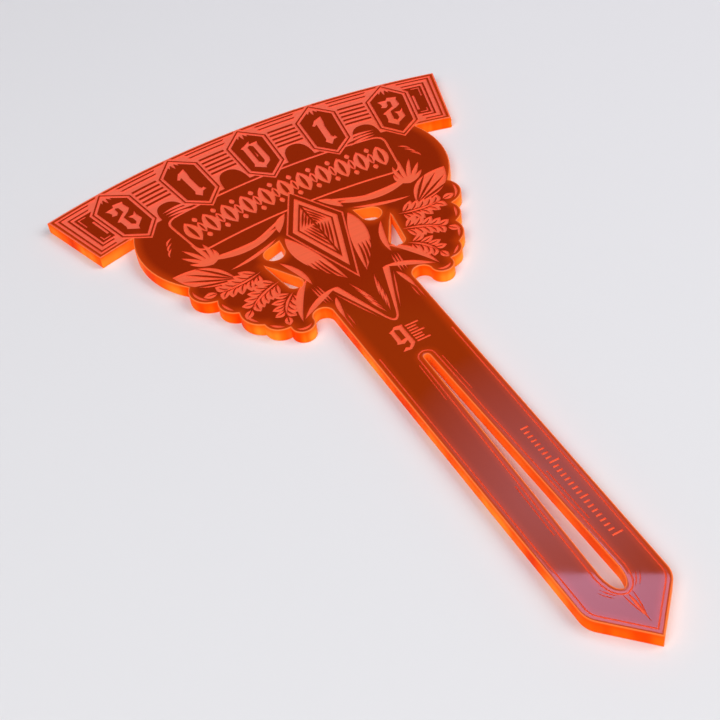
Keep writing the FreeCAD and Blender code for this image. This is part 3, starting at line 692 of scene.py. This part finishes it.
@dataclass
class RulerPlate:
    """The whole ruler, one sheet of acrylic with recesses, openings and rounded cut edges.

    Attributes:
        rounding: radius along each cut edge, where the laser has melted it, in metres.
        rounding_steps: faces across that radius.
        rounding_slack: a point up to this many radii from the edge is one of the rounding's.
        rim_steps: distances from the cut edge at which the surfaces get a line of points.
        wall_rows: rows of faces up the cut edge.
        level: how far heights on one level may differ.
        near: how near to the rim an engraved edge is when it is taken for the rim itself.
        join_mm: points nearer than this many millimetres become one when the plan is cut.
        smooth_angle: faces that meet at less than this are shaded as one.
        faced_reach: how near a wall lights the one that it faces.
        faced_angle: how far to each side that other wall is looked for, in radians.
        faced_rays: number of directions in which it is looked for.
    """

    rounding: float = 0.22 * MM
    rounding_steps: int = 3
    rounding_slack: float = 1.01
    rim_steps: tuple[float, ...] = (0.8 * MM, 1.8 * MM, 3.6 * MM)
    wall_rows: int = 4
    level: float = 0.01 * MM
    near: float = 0.06 * MM
    join_mm: float = 1e-5
    smooth_angle: float = math.radians(35)
    faced_reach: float = 8.0 * MM
    faced_angle: float = math.radians(85)
    faced_rays: int = 24

    def read_frame(self, node: bpy.types.Object) -> Sheet:
        """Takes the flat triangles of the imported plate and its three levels.

        Args:
            node: the plate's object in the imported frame.

        Returns:
            The surfaces and levels.
        """
        mesh = node.data
        mesh.calc_loop_triangles()
        points = np.empty(len(mesh.vertices) * 3, dtype=np.float32)
        mesh.vertices.foreach_get("co", points)
        corners = np.empty(len(mesh.loop_triangles) * 3, dtype=np.int32)
        mesh.loop_triangles.foreach_get("vertices", corners)
        solid = points.reshape(-1, 3)[corners].reshape(-1, 3, 3).astype(float)
        heights = solid[:, :, 2].mean(axis=1)
        flat = np.ptp(solid[:, :, 2], axis=1) < self.level
        bottom, top = float(heights.min()), float(heights.max())
        high = flat & (heights > (bottom + top) / 2)
        polished = high & (heights > top - self.level)
        floor = float(heights[high & ~polished].mean())
        upper = merged(solid[polished][:, :, :2])
        under = merged(solid[flat & ~high][:, ::-1, :2])
        return Sheet(upper, under, top, floor, bottom)

    def rounding_lines(self) -> tuple[float, ...]:
        """Distances from the cut edge of the lines across the rounding: the radius times
        one less the cosine of equal angles, up to a right angle.

        Returns:
            The distances, from the edge inwards.
        """
        angles = np.linspace(0, math.pi / 2, self.rounding_steps + 1)[1:]
        return tuple(self.rounding * (1 - np.cos(angles)))

    def cut_plan(self, sheet: Sheet) -> Plan:
        """Cuts the whole plan along the rim, the engraving's edges and the rim's lines.

        Args:
            sheet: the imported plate's surfaces and levels.

        Returns:
            The plan.
        """
        rim_points, points = sheet.underside.points, sheet.polished.points
        rim = outline(sheet.underside.triangles)
        edges = outline(sheet.polished.triangles)
        reach = max(self.rim_steps)
        own = distance_to(rim, rim_points, points, reach) < self.near
        edges = edges[~own[edges].all(axis=1)] + len(rim_points)
        steps = self.rounding_lines() + self.rim_steps
        inner, lines = moved_inwards(rim_points, rim, steps)
        lines = lines + len(rim_points) + len(points)
        places = np.concatenate([rim_points, points, inner])
        limits = np.concatenate([rim, edges, lines]).tolist()
        whole_hull = 0  # the kind of result that holds every triangle, also outside the rim
        cut = delaunay_2d_cdt(
            [Vector(place) for place in places / MM], limits, [], whole_hull, self.join_mm
        )
        places = np.array([tuple(place) for place in cut[0]]) * MM
        triangles = np.array(cut[2])
        centres = places[triangles].mean(axis=1)
        inside = sheet.underside.covers(centres)
        engraved = ~sheet.polished.covers(centres[inside])
        distance = distance_to(rim, rim_points, places, reach)
        return Plan(places, triangles[inside], engraved, distance)

    def rows(self, sheet: Sheet, plan: Plan) -> list[np.ndarray]:
        """Works out the heights at which the plan's points are repeated. Near the cut edge a
        surface falls away as a quarter circle: the fall is the radius, less the root of its
        square less the square of the radius less the distance from the edge.

        Args:
            sheet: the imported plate's surfaces and levels.
            plan: the cut plan.

        Returns:
            One height for each point of the plan, on the upper face, on the engraving's
            floor, on the rest face, and on each row between them down the cut edge.
        """
        short = np.maximum(self.rounding - plan.distance, 0)
        fall = self.rounding - np.sqrt(self.rounding**2 - short**2)
        high, low = sheet.floor - self.rounding, sheet.bottom + self.rounding
        between = np.linspace(high, low, self.wall_rows + 1)[1:-1]
        levels = [sheet.top - fall, sheet.floor - fall, sheet.bottom + fall]
        return levels + [np.full(len(fall), height) for height in between]

    def faces(self, plan: Plan, rim: np.ndarray, rows: int) -> tuple[np.ndarray, np.ndarray]:
        """Joins the rows: the two upper surfaces, the underside, the steps round the
        engraving and the cut edge.

        Args:
            plan: the cut plan.
            rim: start and end point numbers of the plan's outline.
            rows: how often the plan's points are repeated.

        Returns:
            Three point numbers for each triangle, and the number of its finish.
        """
        count = len(plan.points)
        top, floor, bottom, *between = range(0, rows * count, count)
        polished, engraved, cut = (slot.value for slot in Slot)
        upper = plan.triangles + np.where(plan.engraved, floor, top)[:, None]
        under = plan.triangles[:, ::-1] + bottom
        reach = self.rounding * self.rounding_slack
        rounded = (plan.distance[plan.triangles] < reach).all(axis=1)
        upper_slot = np.where(rounded, cut, np.where(plan.engraved, engraved, polished))
        under_slot = np.where(rounded, cut, polished)

        steps = outline(plan.triangles[plan.engraved])
        steps = band(steps[~among(steps, rim)][:, ::-1], floor, top)
        columns = [floor, *between, bottom]
        walls = [band(rim, lower, higher) for higher, lower in zip(columns, columns[1:])]
        unbroken = among(rim, outline(plan.triangles[~plan.engraved]))
        wall = np.concatenate([*walls, band(rim[unbroken], floor, top)])

        step_slot, wall_slot = np.full(len(steps), engraved), np.full(len(wall), cut)
        triangles = np.concatenate([upper, under, steps, wall])
        return triangles, np.concatenate([upper_slot, under_slot, step_slot, wall_slot])

    def build(self, node: bpy.types.Object) -> bpy.types.Object:
        """Makes the plate and dresses it.

        Args:
            node: the plate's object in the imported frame.

        Returns:
            The new object, with its finishes.
        """
        sheet = self.read_frame(node)
        plan = self.cut_plan(sheet)
        rim = outline(plan.triangles)
        rows = self.rows(sheet, plan)
        cloud = np.concatenate([np.column_stack([plan.points, row]) for row in rows])
        triangles, slots = self.faces(plan, rim, len(rows))
        angles = np.linspace(-self.faced_angle, self.faced_angle, self.faced_rays)
        faced = faced_share(plan.points, rim, self.faced_reach, angles)
        fields = {RIM_FIELD: plan.distance / MM, FACED_FIELD: faced}
        return self.as_object(cloud, triangles, slots, fields)

    def as_object(
        self,
        cloud: np.ndarray,
        triangles: np.ndarray,
        slots: np.ndarray,
        fields: dict[str, np.ndarray],
    ) -> bpy.types.Object:
        """Puts the arrays into a mesh object.

        Args:
            cloud: x, y and z of each point.
            triangles: three point numbers for each triangle.
            slots: the number of each triangle's finish.
            fields: named values for each point of the plan, which all rows share.

        Returns:
            The object.
        """
        used, number = np.unique(triangles, return_inverse=True)
        mesh = bpy.data.meshes.new("acrylic_plate")
        mesh.from_pydata(cloud[used], [], number.reshape(-1, 3))
        for slot in Slot:
            mesh.materials.append(FINISHES[slot].build())
        mesh.polygons.foreach_set("material_index", slots.astype(np.int32))
        for name, values in fields.items():
            values = np.tile(values, len(cloud) // len(values))[used].astype(np.float32)
            mesh.attributes.new(name, "FLOAT", "POINT").data.foreach_set("value", values)
        mesh.shade_smooth()
        mesh.set_sharp_from_angle(angle=self.smooth_angle)
        mesh.update()
        plate = bpy.data.objects.new("acrylic_plate", mesh)
        bpy.context.scene.collection.objects.link(plate)
        return plate


# ----------------------------------------------------------------------------------- studio
@dataclass
class SoftLamp:
    """One soft box.

    Attributes:
        name: what it is called.
        place: its centre, in metres.
        aim: the direction that it faces.
        size: its width and height, in metres.
        brightness: how bright its face looks head on, where 1 is white.
        colour: its light's colour.
        turn: how far it is turned in its own plane, in degrees.
        spread: the angle that its light fills, in degrees.
    """

    name: str
    place: tuple[float, float, float]
    aim: tuple[float, float, float]
    size: tuple[float, float]
    brightness: float
    colour: str = "#ffffff"
    turn: float = 0.0
    spread: float = 180.0

    def build(self) -> None:
        """Adds the lamp. Its power is its brightness times pi times its area."""
        data = bpy.data.lights.new(self.name, "AREA")
        data.shape = "RECTANGLE"
        data.size, data.size_y = self.size
        data.energy = self.brightness * math.pi * self.size[0] * self.size[1]
        data.color = linear(self.colour)[:3]
        data.spread = math.radians(self.spread)
        lamp = bpy.data.objects.new(self.name, data)
        bpy.context.scene.collection.objects.link(lamp)
        facing = Vector(self.aim).to_track_quat("-Z", "Y")
        turned = facing @ Quaternion((0, 0, 1), math.radians(self.turn))
        lamp.location = self.place
        lamp.rotation_euler = turned.to_euler()


# Two broad soft boxes behind the camera light everything. The mirror image of a small cool
# one ends across the tip of the handle, and that of a long one fades along the handle.
LAMPS = (
    SoftLamp(
        name="key_box",
        place=(-1.2, -0.9, 1.9),
        aim=(1.2, 0.98, -1.9),
        size=(1.6, 1.6),
        brightness=5.4,
    ),
    SoftLamp(
        name="fill_box",
        place=(1.3, -0.9, 1.6),
        aim=(-1.3, 0.98, -1.6),
        size=(1.6, 1.6),
        brightness=4.3,
    ),
    SoftLamp(
        name="tip_box",
        place=(0.2609, 0.3771, 0.7),
        aim=(0.0, 0.0, -1.0),
        size=(0.2, 0.13),
        brightness=4.7,
        colour="#dfc9ff",
        turn=-32.6,
    ),
    SoftLamp(
        name="handle_box",
        place=(0.517, 0.93, 1.2),
        aim=(-0.333, -0.541, -0.772),
        size=(0.4, 0.8),
        brightness=0.0093,
        colour="#e8ddff",
        spread=14.0,
    ),
)


@dataclass
class Studio:
    """Floor, lamps, dim surroundings and the camera.

    Attributes:
        lamps: the soft boxes.
        floor_radius: radius of the flat floor, in metres.
        floor_centre: radius of the small face that closes its middle.
        floor_turns: faces round it.
        sweep: radius and height of the curve that the floor ends in.
        sweep_steps: faces up that curve.
        floor_colour: the floor's paint.
        floor_roughness: that of matt paint.
        far_glow: brightness of its own that the floor has far away, where it would go dark.
        near_edge: radius at which that brightness begins, in metres.
        ambient: brightness of the surroundings.
        camera_place: the camera, in metres.
        camera_forward: the direction in which it looks.
        camera_right: the direction to its right.
        lens_mm: focal length.
        sensor_mm: width of the sensor.
        clip_start: the nearest that the camera sees, in metres.
    """

    lamps: tuple[SoftLamp, ...] = LAMPS
    floor_radius: float = 3.0
    floor_centre: float = 0.001
    floor_turns: int = 96
    sweep: float = 1.2
    sweep_steps: int = 16
    floor_colour: str = "#e4e4e6"
    floor_roughness: float = 0.9
    far_glow: float = 0.45
    near_edge: float = 1.6
    ambient: float = 0.03
    camera_place: tuple[float, float, float] = (-0.101410, -0.119233, 0.238428)
    camera_forward: tuple[float, float, float] = (0.254348, 0.674980, -0.692611)
    camera_right: tuple[float, float, float] = (0.882323, -0.455197, -0.119594)
    lens_mm: float = 64.739
    sensor_mm: float = 36.0
    clip_start: float = 0.01

    def build(self) -> None:
        """Builds the studio round the object."""
        self.build_floor()
        for lamp in self.lamps:
            lamp.build()
        self.build_world()
        self.build_camera()

    def build_floor(self) -> None:
        """Adds a plain floor under the ruler: a disc that ends all round in a quarter circle
        upwards. A point of that curve lies the sweep times the sine of its angle beyond the
        disc, and the sweep times one less its cosine above it."""
        angles = np.linspace(0, math.pi / 2, self.sweep_steps + 1)
        out = np.append(self.floor_centre, self.floor_radius + self.sweep * np.sin(angles))
        rise = np.append(0.0, self.sweep * (1 - np.cos(angles)))
        count = self.floor_turns
        turns = np.linspace(0, 2 * math.pi, count + 1)[:-1]
        circle = np.column_stack([np.cos(turns), np.sin(turns)])
        rings = [np.column_stack([circle * o, np.full(count, r)]) for o, r in zip(out, rise)]
        first = np.arange(count)
        after = (first + 1) % count
        strip = np.stack([first, first + count, after + count, after], axis=1)
        rows = np.arange(len(out) - 1)[:, None, None] * count
        faces = (strip[None] + rows).reshape(-1, 4).tolist()
        mesh = bpy.data.meshes.new("floor")
        mesh.from_pydata(np.concatenate(rings), [], [*faces, first.tolist()])
        mesh.shade_smooth()
        mesh.materials.append(self.floor_paint())
        floor = bpy.data.objects.new("floor", mesh)
        bpy.context.scene.collection.objects.link(floor)

    def floor_paint(self) -> bpy.types.Material:
        """Makes the floor's matt paint, which shines a little of its own far away.

        Returns:
            The material.
        """
        material, tree = blank_material("matt_paint")
        place = add_node(tree, "TexCoord").outputs["Object"]
        away = add_node(tree, "VectorMath", {"operation": "LENGTH"}, [place])
        limits = [away.outputs["Value"], self.near_edge, self.floor_radius, 0.0, self.far_glow]
        paint = {
            "Base Color": linear(self.floor_colour),
            "Roughness": self.floor_roughness,
            "Emission Color": linear(self.floor_colour),
            "Emission Strength": add_node(tree, "MapRange", SMOOTH, limits),
        }
        shader = add_node(tree, "BsdfPrincipled", inputs=paint)
        add_node(tree, "OutputMaterial", inputs={"Surface": shader})
        return material

    def build_world(self) -> None:
        """Adds an even dim light from all round."""
        world = bpy.data.worlds.new("surroundings")
        bpy.context.scene.world = world
        world.use_nodes = True
        world.node_tree.nodes.clear()
        light = {"Color": linear("#ffffff"), "Strength": self.ambient}
        glow = add_node(world.node_tree, "Background", inputs=light)
        add_node(world.node_tree, "OutputWorld", inputs={"Surface": glow})

    def build_camera(self) -> None:
        """Adds the camera. The columns of its matrix are its right side, its top and the
        direction behind it."""
        data = bpy.data.cameras.new("camera")
        data.lens = self.lens_mm
        data.sensor_width = self.sensor_mm
        data.clip_start = self.clip_start
        camera = bpy.data.objects.new("camera", data)
        bpy.context.scene.collection.objects.link(camera)
        forward = Vector(self.camera_forward).normalized()
        right = Vector(self.camera_right).normalized()
        top = right.cross(forward)
        turn = Matrix((right, top, -forward)).transposed().to_4x4()
        camera.matrix_world = Matrix.Translation(self.camera_place) @ turn
        bpy.context.scene.camera = camera


def main() -> None:
    """Builds the ruler and its studio."""
    logging.basicConfig(level=logging.INFO, format="%(name)s: %(message)s")
    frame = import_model()
    plate = RulerPlate().build(frame["nodes"][NODE])
    LOG.info("%s: %d triangles", plate.name, len(plate.data.polygons))
    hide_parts(NODE)
    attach(plate, "root")
    Studio().build()
    bpy.context.scene.view_settings.view_transform = "Standard"


if __name__ == "__main__":
    main()
